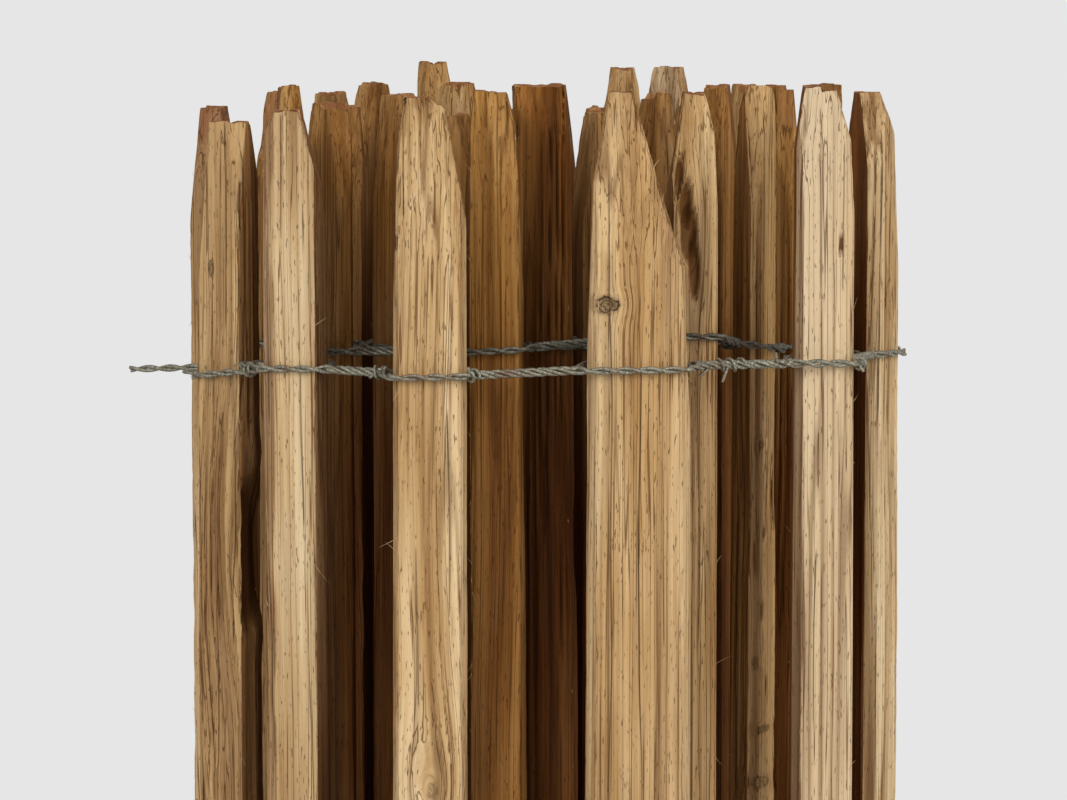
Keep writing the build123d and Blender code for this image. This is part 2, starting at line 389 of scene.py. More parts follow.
wireLook = {
    "bright": srgb(158, 154, 136),
    "dull": srgb(88, 84, 68),
    "stain": srgb(104, 70, 44),
    # painted shade on the wires of the inner turns
    "deep": srgb(26, 18, 11),
    "spotWaves": 900.0,
    "spot": [(0.35, 0.0), (0.65, 1.0)],
    "patchWaves": 60.0,
    "patch": [(0.52, 0.0), (0.75, 0.7)],
    "metal": 0.45,
    "specular": 0.5,
    "roughness": (0.36, 0.60),
    "bump": 0.25,
    "bumpReach": 0.0002,
}


def makeWireMetal():
    material, tree = newMaterial("galvanisedWire")
    look = wireLook
    place = addNode(tree, "ShaderNodeTexCoord").outputs["Object"]
    spots = stretchedNoise(tree, place, look["spotWaves"], look["spotWaves"], 3)
    patches = stretchedNoise(tree, place, look["patchWaves"], look["patchWaves"], 3)
    colour = mixColour(tree, ramp(tree, spots, look["spot"]), look["bright"], look["dull"])
    colour = mixColour(tree, ramp(tree, patches, look["patch"]), colour, look["stain"])
    # painted shade on the inner turns' wires
    colour = mixColour(tree, attribute(tree, "deep"), colour, look["deep"])
    shadeSurface(tree, colour, spots, spots, look)
    return material


chestnut = makeChestnut()
endWood = makeEndWood()
wireMetal = makeWireMetal()
print("materials made")


class SoftNoise:
    # smooth noise on arrays, the same on every run
    size = 4096

    def __init__(self, seed):
        self.table = np.random.default_rng(seed).random(self.size) * 2 - 1
        self.turns = np.random.default_rng(seed + 1).permutation(self.size)

    def corner(self, x, y, z):
        first = self.turns[np.mod(x, self.size)]
        second = self.turns[np.mod(first + y, self.size)]
        return self.table[np.mod(second + z, self.size)]

    def at(self, x, y, z):
        cells = [np.floor(v).astype(int) for v in (x, y, z)]
        shares = [v - c for v, c in zip((x, y, z), cells)]
        fx, fy, fz = [s * s * (3 - 2 * s) for s in shares]
        total = 0.0
        for dx in (0, 1):
            for dy in (0, 1):
                for dz in (0, 1):
                    weight = ((fx if dx else 1 - fx) * (fy if dy else 1 - fy)
                              * (fz if dz else 1 - fz))
                    total = total + weight * self.corner(cells[0] + dx, cells[1] + dy,
                                                         cells[2] + dz)
        return total


def smoothStep(low, high, value):
    share = np.clip((value - low) / (high - low), 0, 1)
    return share * share * (3 - 2 * share)


def addAttribute(mesh, label, values):
    # one number or one vector for each point
    kind, field = ("FLOAT_VECTOR", "vector") if values.ndim == 2 else ("FLOAT", "value")
    layer = mesh.attributes.new(label, kind, "POINT")
    layer.data.foreach_set(field, values.astype(np.float32).reshape(-1))


def growMesh(name, seed, tree, identifiers, sizes):
    # the plain mesh that a tree of nodes makes of another mesh
    holder = newObject(name + "_holder", seed)
    modifier = holder.modifiers.new("grow", "NODES")
    modifier.node_group = tree
    for label, value in sizes.items():
        modifier[identifiers[label]] = value
    graph = bpy.context.evaluated_depsgraph_get()
    grown = bpy.data.meshes.new_from_object(holder.evaluated_get(graph))
    bpy.data.objects.remove(holder)
    return grown


paleShape = {
    "around": 112,  # points round a pale that shows, and round one that doesn't
    "aroundBehind": 48,
    "upperStep": 0.0045,  # from ring to ring
    "lowerStep": 0.010,
    "stepBehind": 0.013,
    "upperFrom": 0.52,
    "tipStep": 0.0022,
    "tipLength": 0.04,
    "knotStep": 0.0012,
    "knotReach": 0.011,
    "closest": 0.0004,
    "facesCamera": 0.3,  # marks are placed on what looks no further back than this
    "ridgeDepth": 0.00075,
    "grooveRange": (0.03, 0.24),  # of the ridge pattern, from a groove's middle to its rim
    "strengthRange": (-0.5, 0.5),
    "finerDepth": 0.0003,
    "waveDepth": 0.0012,
    "edgeChip": 0.0016,
    "chipShares": (0.3, 0.7),  # what is always chipped off an edge, and what nicks add
    "tipWear": 0.0018,
    "tipWorn": 0.010,  # how far down a tip is worn
    "stepDepth": 0.0045,  # how far one side of a tip may be cut down
    "stepSpan": 0.008,  # and how far from its middle, in the shares that follow
    "stepShares": (0.1, 0.6),
    "stepRow": 95,  # the photograph's row in which such a step is placed
    "shoulderWear": 0.0009,
    "sway": (0.0022, 7.0),  # of the grain, and its waves to the metre
    "innerFace": 0.3,  # how much browner the split faces inside the roll are, partly old wood and partly painted shade
    "innerFrom": 15,  # the first pale that has such faces
    "grainShift": (0.37, 0.0, 1.7),  # from one pale's grain to the next one's
    "sharpAngle": 38,  # degrees, past which an edge stays sharp
    "rootEdge": 0.25,  # how sharp an edge has to be for a splinter
    "rootFacing": 0.2,
    "rootsFrom": 0.3,  # the height from which splinters are grown
    "rootsBelowTip": 0.02,
    "rootEvery": 7,
}
# how the brown, partly painted shade, the paling, partly painted light, the painted shade deep in
# the roll and the stains are laid on a pale
paleTone = {
    "litRange": (-0.05, 0.5),  # how squarely a face looks the lit way, from brown with painted shade to fresh and lit
    "litSway": 0.12,
    "inwardRange": (0.1, -0.7),  # how much a face looks outwards, from no shade to full shade
    "tipFade": (0.035, 0.21),  # how far below the tip a pale's painted shade begins, and is full
    "tipFadeSway": 0.02,
    "dimAtTip": 0.35,
    "redFade": (0.03, 0.012),  # how far below the tip the red stain ends, and is full
    "bleachAndLightShares": (0.7, 0.6),
    "grooveStain": 0.55,
    "mostStain": 0.92,
    "stripeShares": (0.8, 0.4),
    "stripeFade": (-0.0008, 0.0006),
}
# waves to the metre across and along the grain, shifts that keep the patterns apart, and a
# shift for each pale's number
paleGrain = {
    "ridges": (300.0, 5.0, (0, 0, 0), 1),
    "strength": (70.0, 9.0, (31, 0, 0), 1),
    "finer": (640.0, 13.0, (40, 0, 0), 1),
    "waves": (55.0, 5.0, (9, 0, 0), 3),
    "chips": (90.0, 60.0, (0, 5, 0), 1),
    "nicks": (60.0, 240.0, (0, 25, 0), 1),
    "tip": (260.0, 0.0, (0, 0, 3), 0),
    "shoulder": (400.0, 0.0, (0, 0, 8), 0),
}
markShape = {
    "farOff": 9.0,  # in half sizes, where no mark is near
    "knotParting": (0.5, 3.5),  # how far the grain parts round a knot, and how widely
    "knotDrawn": 7.0,  # the square of the half sizes out to which a knot is drawn
    "rim": (0.0009, 6, 0.22),  # highest, share of the knot's half width, width
    "dip": (0.0012, 4),
    "hollowParting": (0.6, 3.0),
    "hollowSway": (0.3, 60.0),
    "hollowEdge": (0.45, 1.25),
    "hollowDepth": 0.0034,
    "crackSway": (0.0011, 16.0),
    "crackAway": 0.05,  # the distance written where no crack is near
    "crackHalf": 0.003,
    "crackEnd": 0.006,
    "stripeRow": 400,
    "stripeSway": (0.0012, 45.0),
}

# Each pale that shows: which way its newly split face looks, in degrees from the front
# towards the right, which also sets which of its faces are painted as lit, how brown that face
# and the others are, the others' brown being partly old wood and partly painted shade, how tan
# it is all over, and how rough. Its lit faces may be paled, partly as bleached wood and partly
# as painted light. knots: photo column, row, half width, half height, darkness, where 0 only
# parts the grain. hollows: as the knots, sunk in. cracks: column, from row, to row. step: the
# column from which the tip is cut down on its right, and how far. ease: how far the tip's slopes
# stand out, and swell: how far all sides do, before the grain is cut. dim: how much painted
# shade darkens its faces towards the roll's middle. stripe: left of that column it is that brown.
paleLooks = {
    1: {"light": -50, "face": 0.0, "back": 0.08, "tan": 0.35, "bleachAndLight": 0.1, "red": 0.75},
    2: {"light": -38, "face": 0.0, "back": 0.68, "tan": 0.60, "bleachAndLight": 0.10, "rough": 1.5,
        "swell": 0.0008, "dim": 0.25,
        "knots": [(209, 270, 0.0014, 0.004, 0.8), (258, 548, 0.0150, 0.046, 0.0),
                  (212, 700, 0.0080, 0.045, 0.0)],
        "hollows": [(252, 556, 0.0068, 0.040), (240, 205, 0.0011, 0.012)],
        "cracks": [(232, 420, 640), (216, 560, 800), (224, 130, 260)]},
    3: {"light": -31, "face": 0.0, "back": 0.75, "tan": 0.2, "ease": 0.0035, "bleachAndLight": 0.1,
        "swell": 0.0008, "stripe": (272, 0.8),
        "cracks": [(279, 120, 230), (300, 380, 520), (266, 250, 420), (268, 560, 800)]},
    4: {"light": 0, "face": 0.0, "back": 0.6, "tan": 0.22, "step": (434, 0.0055),
        "knots": [(392, 243, 0.0018, 0.0050, 0.9), (430, 789, 0.0046, 0.0080, 0.6),
                  (427, 772, 0.0085, 0.020, 0.0)],
        "cracks": [(402, 130, 210), (447, 420, 610), (417, 560, 700)]},
    5: {"light": 0, "face": 0.0, "back": 0.5, "tan": 0.42, "bleachAndLight": 0.08,
        "knots": [(607, 305, 0.0056, 0.0040, 1.0)],
        "cracks": [(611, 186, 800), (641, 366, 800), (663, 470, 640)]},
    6: {"light": 22, "face": 0.0, "back": 0.9, "tan": 0.0, "bleachAndLight": 0.62, "step": (822, 0.0035),
        "hollows": [(842, 246, 0.0014, 0.0050)],
        "cracks": [(846, 150, 280), (815, 560, 720)]},
    7: {"light": 62, "face": 0.0, "back": 1.0, "tan": 0.1, "rough": 1.2,
        "cracks": [(884, 170, 330)]},
    9: {"light": -20, "face": 0.0, "back": 0.15, "tan": 0.35, "bleachAndLight": 0.35},
    11: {"light": 0, "face": 0.0, "back": 0.45, "tan": 0.75},
    16: {"light": 10, "face": 0.22, "back": 0.9, "tan": 0.95, "rough": 1.2, "shade": 0.55,
         "cracks": [(498, 110, 260)]},
    17: {"light": 30, "face": 0.0, "back": 0.7, "tan": 0.5, "shade": 0.22,
         "hollows": [(679, 178, 0.0022, 0.010), (685, 205, 0.0034, 0.012),
                     (690, 234, 0.0042, 0.015), (694, 270, 0.0026, 0.016)]},
    18: {"light": 66, "face": 0.1, "back": 0.68, "tan": 0.8, "rough": 2.3, "shade": 0.0,
         "bleachAndLight": 0.14, "dim": 0.3,
         "knots": [(764, 446, 0.0020, 0.0022, 0.7), (757, 664, 0.0022, 0.0034, 0.6),
                   (766, 731, 0.0036, 0.0020, 0.7), (762, 784, 0.0050, 0.0034, 0.6)],
         "hollows": [(765, 276, 0.0011, 0.0026), (757, 285, 0.0009, 0.0018),
                     (768, 533, 0.0010, 0.0030), (755, 560, 0.0008, 0.0100),
                     (766, 610, 0.0009, 0.0060), (771, 690, 0.0009, 0.0070)],
         "cracks": [(760, 680, 800), (773, 420, 520)]},
    19: {"face": 0.35, "back": 0.9, "tan": 0.9, "red": 0.25},
    26: {"light": 180, "face": 0.7, "back": 0.85, "tan": 1.0, "rough": 2.6, "shade": 0.62},
}
# pales of which only the tip shows
tipLooks = {
    12: {"face": 0.35, "back": 0.6, "tan": 0.7},
    13: {"face": 0.3, "back": 0.6, "tan": 0.6, "red": 0.55},
    20: {"face": 0.0, "back": 0.5, "tan": 0.6},
    21: {"face": 0.0, "back": 0.3, "tan": 0.6},
    22: {"face": 0.0, "back": 0.4, "tan": 0.6},
}
usualLook = {"light": 0, "face": 0.25, "back": 0.85, "tan": 0.8, "bleachAndLight": 0.0, "red": 0.0,
             "rough": 1.0, "ease": 0.0, "swell": 0.0, "dim": 0.55, "knots": [], "hollows": [],
             "cracks": [], "step": None, "stripe": None, "shade": None}
# how much painted shade a pale gets below its tip on the outer turn, the second, the third and
# further in
turnShade = [(13, 0.0), (22, 0.62), (30, 0.85), (38, 1.0)]


def solidPlanes(node):
    # the flat sides of a convex solid, as outward normals and distances
    found = {}
    for polygon in node.data.polygons:
        normal = polygon.normal
        if normal.length < 0.5:
            continue
        distance = normal.dot(polygon.center)
        key = tuple(round(v, 3) for v in normal) + (round(distance, 4),)
        if key not in found or polygon.area > found[key][0]:
            found[key] = (polygon.area, normal.copy(), distance)
    normals = np.array([tuple(n) for _, n, _ in found.values()])
    distances = np.array([d for _, _, d in found.values()])
    return normals, distances


def footCorners(node):
    # the sawn foot's corners in order round the pale
    points = {}
    for vertex in node.data.vertices:
        if vertex.co.z < 1e-4:
            points[(round(vertex.co.x, 4), round(vertex.co.y, 4))] = vertex.co.xy.copy()
    corners = list(points.values())
    centre = sum(corners, Vector((0, 0))) / len(corners)
    corners.sort(key=lambda p: math.atan2(p.y - centre.y, p.x - centre.x))
    return corners, centre


def perimeterAngles(corners, centre, count):
    # directions from the centre so that points lie evenly along the sides, corners included
    sides = list(zip(corners, corners[1:] + corners[:1]))
    whole = sum((b - a).length for a, b in sides)
    angles = []
    for a, b in sides:
        steps = max(3, round(count * (b - a).length / whole))
        for step in range(steps):
            point = a + (b - a) * step / steps - centre
            angles.append(math.atan2(point.y, point.x))
    return np.unwrap(np.array(angles))


def castRings(normals, distances, centres, levels, angles):
    # how far rays from each level's centre run before they leave the solid
    ways = np.stack([np.cos(angles), np.sin(angles), np.zeros_like(angles)], axis=1)
    facing = ways @ normals.T
    origins = np.concatenate([centres, levels[:, None]], axis=1)
    gaps = distances[None, :] - origins @ normals.T
    with np.errstate(divide="ignore", invalid="ignore"):
        reach = gaps[:, None, :] / facing[None, :, :]
    reach = np.where(facing[None, :, :] > 1e-5, reach, np.inf)
    return reach.min(axis=2)


def centreRings(normals, distances, centre, levels, angles):
    # the middle of the solid's section at each level, nearer to it with every round
    centres = np.tile(np.array(centre), (len(levels), 1))
    for _ in range(4):
        reach = castRings(normals, distances, centres, levels, angles)
        x = centres[:, :1] + reach * np.cos(angles)
        y = centres[:, 1:] + reach * np.sin(angles)
        nextX, nextY = np.roll(x, -1, axis=1), np.roll(y, -1, axis=1)
        cross = x * nextY - nextX * y
        area = cross.sum(axis=1) / 2
        centres = np.stack([((x + nextX) * cross).sum(axis=1) / (6 * area),
                            ((y + nextY) * cross).sum(axis=1) / (6 * area)], axis=1)
    return centres


def paleLevels(top, behind, marks):
    # the heights of a pale's rings, closer together at its tip and round its knots
    shape = paleShape
    steps = (shape["stepBehind"],) * 2 if behind else (shape["lowerStep"], shape["upperStep"])
    closest = shape["closest"]
    lower = np.arange(0, shape["upperFrom"], steps[0])
    upper = np.arange(shape["upperFrom"], top - shape["tipLength"], steps[1])
    tip = np.arange(top - shape["tipLength"], top - 2 * closest, shape["tipStep"])
    near = [np.arange(z - shape["knotReach"], z + shape["knotReach"], shape["knotStep"])
            for z in marks]
    levels = np.unique(np.concatenate([lower, upper, tip, *near, [top - closest]]))
    apart = np.concatenate([[True], np.diff(levels) > closest])
    return levels[apart & (levels < top)]


def easePlanes(normals, distances, ease, swell):
    # the sides moved outwards, and a tip's slopes more, where the photograph shows it wider
    tilt = normals[:, 2]
    slopes = (tilt > 0.02) & (tilt < 0.8)
    return distances + ease * slopes + swell * (abs(tilt) < 0.8)


def outwards(x, y):
    # the level way out of the skin at each point of each ring, and how sharp an edge it is
    alongX = np.roll(x, -1, axis=1) - np.roll(x, 1, axis=1)
    alongY = np.roll(y, -1, axis=1) - np.roll(y, 1, axis=1)
    size = np.hypot(alongX, alongY) + 1e-9
    outX, outY = alongY / size, -alongX / size
    bend = (np.roll(outX, -1, axis=1) * np.roll(outX, 1, axis=1)
            + np.roll(outY, -1, axis=1) * np.roll(outY, 1, axis=1))
    edge = np.clip(1 - bend, 0, 1)
    spread = np.maximum(edge, 0.6 * np.maximum(np.roll(edge, 1, axis=1),
                                               np.roll(edge, -1, axis=1)))
    return outX, outY, spread


def wrapRings(points, rings, around):
    # the faces of a skin and of its two ends, and the points that the ends add
    faces = []
    extra = []

    def join(a, b, flip):
        for step in range(around):
            after = (step + 1) % around
            quad = (a + step, a + after, b + after, b + step)
            faces.append(quad[::-1] if flip else quad)

    for ring in range(rings - 1):
        join(ring * around, (ring + 1) * around, False)
    sideFaces = len(faces)
    for last, flip in ((0, True), ((rings - 1) * around, False)):
        ringPoints = points[last:last + around]
        middle = ringPoints.mean(axis=0)
        for share in (0.7, 0.4):
            start = len(points) + len(extra)
            for point in ringPoints:
                inner = middle + (point - middle) * share
                inner[2] = point[2]
                extra.append(inner)
            join(last, start, flip)
            last = start
        tip = len(points) + len(extra)
        extra.append(middle)
        for step in range(around):
            corner = (last + step, last + (step + 1) % around, tip)
            faces.append(corner[::-1] if flip else corner)
    return faces, sideFaces, np.array(extra)


class PaleSkin:
    # a pale's surface as arrays, with a row for each ring and a column for each point round it

    def __init__(self, number):
        self.number = number
        self.name = f"pale_{number:02d}"
        self.look = {**usualLook, **tipLooks.get(number, {}), **paleLooks.get(number, {})}
        self.behind = number not in paleLooks
        self.noise = SoftNoise(number * 17)
        self.low, self.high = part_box(self.name)
        normals, distances = solidPlanes(nodes[self.name])
        distances = easePlanes(normals, distances, self.look["ease"], self.look["swell"])
        corners, self.centre = footCorners(nodes[self.name])
        count = paleShape["aroundBehind" if self.behind else "around"]
        angles = perimeterAngles(corners, self.centre, count)
        marks = [self.photoFace(knot[0], knot[1]).z for knot in self.look["knots"]]
        levels = paleLevels(self.high.z, self.behind, marks)
        centres = centreRings(normals, distances, self.centre, levels, angles)
        reach = castRings(normals, distances, centres, levels, angles)
        self.x = centres[:, :1] + reach * np.cos(angles)
        self.y = centres[:, 1:] + reach * np.sin(angles)
        self.z = np.repeat(levels[:, None], len(angles), axis=1)
        self.tipCentre = centres[-1]
        self.outX, self.outY, self.edge = outwards(self.x, self.y)
        self.shows = self.outY < paleShape["facesCamera"]
        self.grainX = self.x - self.centre.x
        self.grainY = self.y - self.centre.y
        self.lump = np.zeros_like(self.x)

    def photoFace(self, column, row):
        # the point of the photograph on the plane of the pale's front
        return photoPoint(column, row, self.low.y)

    def beside(self, mark):
        # how far each point lies beside a mark of the photograph and above it, in half sizes
        column, row, halfWidth, halfHeight = mark[:4]
        middle = self.photoFace(column, row)
        side = np.where(self.shows, (self.x - middle.x) / halfWidth, markShape["farOff"])
        return side, (self.z - middle.z) / halfHeight

    def pattern(self, name, x, y):
        across, along, shift, perPale = paleGrain[name]
        return self.noise.at(x * across + shift[0], y * across + shift[1],
                             self.z * along + shift[2] + perPale * self.number)

    def sway(self, amount, waves, shift):
        # a wander to the sides on the way up
        return amount * self.noise.at(self.z * waves, self.z * 0 + shift, self.z * 0)

    def markKnots(self):
        # the grain parts round a knot, which has a raised rim and a dip in its middle
        shape = markShape
        parting, spread = shape["knotParting"]
        highest, rimShare, rimWidth = shape["rim"]
        deepest, dipShare = shape["dip"]
        self.knotAt = np.full((*self.x.shape, 3), (shape["farOff"], shape["farOff"], 0.0))
        for knot in self.look["knots"]:
            halfWidth, darkness = knot[2], knot[4]
            side, rise = self.beside(knot)
            away = side ** 2 + rise ** 2
            self.grainX = self.grainX - parting * halfWidth * side * np.exp(-away / spread)
            nearer = away < self.knotAt[..., 0] ** 2 + self.knotAt[..., 1] ** 2
            drawn = np.where(away < shape["knotDrawn"], darkness, 0.0)
            self.knotAt[nearer] = np.stack([side, rise, drawn], axis=2)[nearer]
            rim = np.exp(-((np.sqrt(away) - 1.0) / rimWidth) ** 2)
            self.lump += min(highest, halfWidth / rimShare) * rim
            self.lump -= min(deepest, halfWidth / dipShare) * np.exp(-away * 2)

    def markHollows(self):
        shape = markShape
        parting, spread = shape["hollowParting"]
        self.hollow = np.zeros_like(self.x)
        for mark in self.look["hollows"]:
            side, rise = self.beside(mark)
            side = side + self.sway(*shape["hollowSway"], mark[0])
            away = side ** 2 + rise ** 2
            self.grainX = self.grainX - parting * mark[2] * side * np.exp(-away / spread)
            bay = 1 - smoothStep(*shape["hollowEdge"], away)
            self.hollow = np.maximum(self.hollow, bay)
            self.lump -= min(shape["hollowDepth"], mark[2]) * bay

    def markCracks(self):
        # how far each point lies to one side of its nearest crack, and whether it runs there
        shape = markShape
        amount, waves = shape["crackSway"]
        self.crack = np.full_like(self.x, shape["crackAway"])
        self.cracked = np.zeros_like(self.x)
        nearest = self.crack
        for column, first, last in self.look["cracks"]:
            top, foot = self.photoFace(column, first), self.photoFace(column, last)
            wander = amount * self.noise.at(self.z * 0 + column, self.z * waves, self.z * 0)
            beyond = np.maximum(0, np.maximum(self.z - top.z, foot.z - self.z))
            side = self.x - top.x - wander
            away = abs(side) + beyond * 0.5
            nearer = self.shows & (away < nearest)
            nearest = np.where(nearer, away, nearest)
            self.crack = np.where(nearer, side, self.crack)
            ends = 1 - smoothStep(0.0, shape["crackEnd"], beyond)
            self.cracked = np.where(nearer, ends * (abs(side) < shape["crackHalf"]),
                                    self.cracked)

    def cutGrain(self):
        # ridges, waves and chipped edges are cut into the skin, and never stand out of it
        shape, rough = paleShape, self.look["rough"]
        self.alongX = self.grainX + self.sway(*shape["sway"], 3.3)
        ridges = self.pattern("ridges", self.alongX, self.grainY)
        strength = smoothStep(*shape["strengthRange"],
                              self.pattern("strength", self.alongX, self.grainY))
        self.grooves = (1 - smoothStep(*shape["grooveRange"], abs(ridges))) * strength
        self.finer = self.pattern("finer", self.alongX, self.grainY)
        self.waves = self.pattern("waves", self.alongX, self.grainY)
        chips = np.clip(self.pattern("chips", self.grainX, self.grainY), 0, 1)
        nicks = np.clip(self.pattern("nicks", self.grainX, self.grainY), 0, 1)
        cut = (shape["ridgeDepth"] * rough * self.grooves
               + shape["finerDepth"] * rough * (0.5 - 0.5 * self.finer))
        cut += shape["waveDepth"] * rough * (0.5 - 0.5 * self.waves)
        least, nickShare = shape["chipShares"]
        cut += self.edge * shape["edgeChip"] * (least + chips + nickShare * nicks)
        cut = np.maximum(0, cut - self.lump)
        self.cutX = self.x - self.outX * cut
        self.cutY = self.y - self.outY * cut

    def cutTip(self):
        # a worn tip, one side of which may be cut down
        shape, top = paleShape, self.high.z
        wear = 0.5 + 0.5 * self.pattern("tip", self.grainX, self.grainY)
        worn = smoothStep(top - shape["tipWorn"], top, self.z)
        self.cutZ = self.z - worn * shape["tipWear"] * wear
        if self.look["step"]:
            column, fall = self.look["step"]
            beyond = self.x - self.photoFace(column, shape["stepRow"]).x
        else:
            draws = np.random.default_rng(self.number + 400)
            turn, fall = draws.uniform(0, math.tau), draws.uniform(0, shape["stepDepth"])
            beyond = ((self.x - self.tipCentre[0]) * math.cos(turn)
                      + (self.y - self.tipCentre[1]) * math.sin(turn)
                      - draws.uniform(*shape["stepShares"]) * shape["stepSpan"])
        shoulder = top - fall - shape["shoulderWear"] * self.pattern("shoulder", self.grainX,
                                                                     self.grainY)
        self.cutZ = np.where(beyond > 0, np.minimum(self.cutZ, shoulder), self.cutZ)

    def paintBrownAndShade(self):
        # faces that look away from the newly split one are old and brown, their brown partly
        # painted shade for faces turned from the light, and lit faces may be paled with painted
        # light
        look, tone = self.look, paleTone
        lightWay = math.radians(look["light"])
        facing = self.outX * math.sin(lightWay) - self.outY * math.cos(lightWay)
        self.darker = 1 - smoothStep(*tone["litRange"], facing + tone["litSway"] * self.waves)
        inner = (self.behind and self.number >= paleShape["innerFrom"]
                 and self.number not in tipLooks)
        face = look["face"] + paleShape["innerFace"] * inner
        self.brown = face + (look["back"] - face) * self.darker
        if look["stripe"]:
            column, depth = look["stripe"]
            edgeX = self.photoFace(column, markShape["stripeRow"]).x
            edgeX = edgeX + self.sway(*markShape["stripeSway"], 7)
            striped = 1 - smoothStep(*tone["stripeFade"], self.x - edgeX)
            least, share = tone["stripeShares"]
            striped = striped * (least + share * self.finer)
            self.brown = np.maximum(self.brown, depth * striped)

    def paintShade(self):
        # painted shade: a pale is darker where it faces the roll's middle, and further down
        # inside the roll
        tone = paleTone
        radial = Vector(self.centre) - rollAxis.xy
        radial.normalize()
        inwards = smoothStep(*tone["inwardRange"], self.outX * radial.x + self.outY * radial.y)
        shade = self.look["shade"]
        if shade is None:
            shade = next(value for last, value in turnShade if self.number <= last)
        fromTip = smoothStep(*tone["tipFade"],
                             self.high.z - self.z + tone["tipFadeSway"] * self.waves)
        atTip = tone["dimAtTip"]
        dim = inwards * self.look["dim"] * (atTip + (1 - atTip) * fromTip)
        self.deep = np.clip(shade * fromTip + dim, 0, 1)

    def masks(self):
        # what each point of the sides is painted with, and what the cut ends get
        look, tone, top = self.look, paleTone, self.high.z
        least, share = tone["bleachAndLightShares"]
        redEnd, redFull = tone["redFade"]
        stain = np.clip(tone["grooveStain"] * self.grooves + self.hollow, 0, tone["mostStain"])
        return {
            # the brown holds painted shade on faces turned from the light, and the paling painted
            # light on faces turned to it
            "brown": (self.brown, 0.5),
            "tan": (look["tan"], 1.0),
            "bleachAndLight": (look["bleachAndLight"] * (1 - self.darker) * (least + share * self.waves), 0.0),
            "red": (look["red"] * smoothStep(top - redEnd, top - redFull, self.z), 0.3),
            "hollow": (stain, 0.1),
            "crack": (self.crack, markShape["crackAway"]),
            "cracked": (self.cracked, 0.0),
            # painted shade deep in the roll and on faces towards its middle
            "deep": (self.deep, 0.0),
        }

    def makeMesh(self):
        rings, around = self.x.shape
        sides = rings * around
        points = np.stack([self.cutX, self.cutY, self.cutZ], axis=2).reshape(-1, 3)
        faces, sideFaces, extra = wrapRings(points, rings, around)
        points = np.concatenate([points, extra])
        mesh = bpy.data.meshes.new(self.name + "_wood")
        mesh.from_pydata([tuple(point) for point in points], [], faces)
        for label, (values, rest) in self.masks().items():
            mask = np.full(len(points), rest, dtype=np.float32)
            mask[:sides] = np.broadcast_to(values, self.x.shape).reshape(-1)
            addAttribute(mesh, label, mask)
        grain = points - np.array([self.centre.x, self.centre.y, 0])
        moved = self.alongX - (self.x - self.centre.x)
        grain[:sides, 0] = grain[:sides, 0] + moved.reshape(-1)
        addAttribute(mesh, "grain", grain + self.number * np.array(paleShape["grainShift"]))
        farOff = markShape["farOff"]
        knotAt = np.full((len(points), 3), (farOff, farOff, 0.0))
        knotAt[:sides] = self.knotAt.reshape(-1, 3)
        addAttribute(mesh, "knotAt", knotAt)
        mesh.polygons.foreach_set("use_smooth", [True] * len(faces))
        mesh.materials.append(chestnut)
        mesh.materials.append(endWood)
        mesh.polygons.foreach_set("material_index",
                                  [0] * sideFaces + [1] * (len(faces) - sideFaces))
        mesh.set_sharp_from_angle(angle=math.radians(paleShape["sharpAngle"]))
        mesh.update()
        return mesh

    def findRoots(self):
        # where splinters can start: a point on a sharp edge, and the level way out of it
        shape = paleShape
        lowest, highest = shape["rootsFrom"], self.cutZ.max() - shape["rootsBelowTip"]
        fits = ((self.edge > shape["rootEdge"]) & (self.outY < shape["rootFacing"])
                & (self.cutZ > lowest) & (self.cutZ < highest))
        return [(Vector((self.cutX[at], self.cutY[at], self.cutZ[at])),
                 Vector((self.outX[at], self.outY[at], 0)))
                for at in map(tuple, np.argwhere(fits)[::shape["rootEvery"]])]


splinterRoots = []  # filled as the pales are made


def skinPale(number):
    skin = PaleSkin(number)
    skin.markKnots()
    skin.markHollows()
    skin.markCracks()
    skin.cutGrain()
    skin.cutTip()
    skin.paintBrownAndShade()
    skin.paintShade()
    pale = newObject(skin.name + "_wood", skin.makeMesh())
    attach(pale, "root")
    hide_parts(skin.name)
    if not skin.behind:
        splinterRoots.extend(skin.findRoots())
    return pale


pales = [skinPale(number) for number in range(1, turnShade[-1][0] + 1)]
print("pales made,", sum(len(pale.data.polygons) for pale in pales) * 2, "triangles")


wireShape = {
    "wire": 0.00098,  # radius of one round wire
    "pairReach": 0.00100,  # from a pair's middle to its two wires
    "ropeReach": 0.00141,  # from the rope's middle to its four wires
    "lead": 0.024,
    "bend": 0.003,
    "bendPoints": 5,
    "step": 0.0020,
    "sides": 6,
    "meet": 0.005,  # the two pairs run as one rope where they are this near
    "outerTurn": 360.0,  # degrees, the next turns lie in its shadow and get painted shade
    "turnShade": 0.5,
}


def routeOf(node):
    # the middle line of a six-sided cord, read from end to end
    net = bmesh.new()
    net.from_mesh(node.data)
    bmesh.ops.remove_doubles(net, verts=net.verts, dist=2e-5)
    bmesh.ops.dissolve_limit(net, angle_limit=math.radians(0.3), verts=net.verts, edges=net.edges)
    caps = [face for face in net.faces if len(face.verts) == 6]
    caps.sort(key=lambda face: -(face.calc_center_median() - rollAxis).xy.length)
    ring = list(caps[0].verts)
    seen = set(ring)
    route = []
    while ring:
        route.append(sum((v.co for v in ring), Vector()) / len(ring))
        following = []
        for vertex in ring:
            for link in vertex.link_edges:
                other = link.other_vert(vertex)
                if other not in seen:
                    seen.add(other)
                    following.append(other)
        ring = following
    net.free()
    return route


routes = {name: routeOf(nodes[name]) for name in nodes if "line" in name}
for name, route in routes.items():
    print(name, len(route), "points")


def runLengths(route):
    lengths = [0.0]
    for a, b in zip(route, route[1:]):
        lengths.append(lengths[-1] + (b - a).length)
    return lengths


def matchPairs(front, back):
    # where the two pairs run together as one rope
    return [(i, j) for i, a in enumerate(front) for j, b in enumerate(back)
            if (a - b).length < wireShape["meet"]]


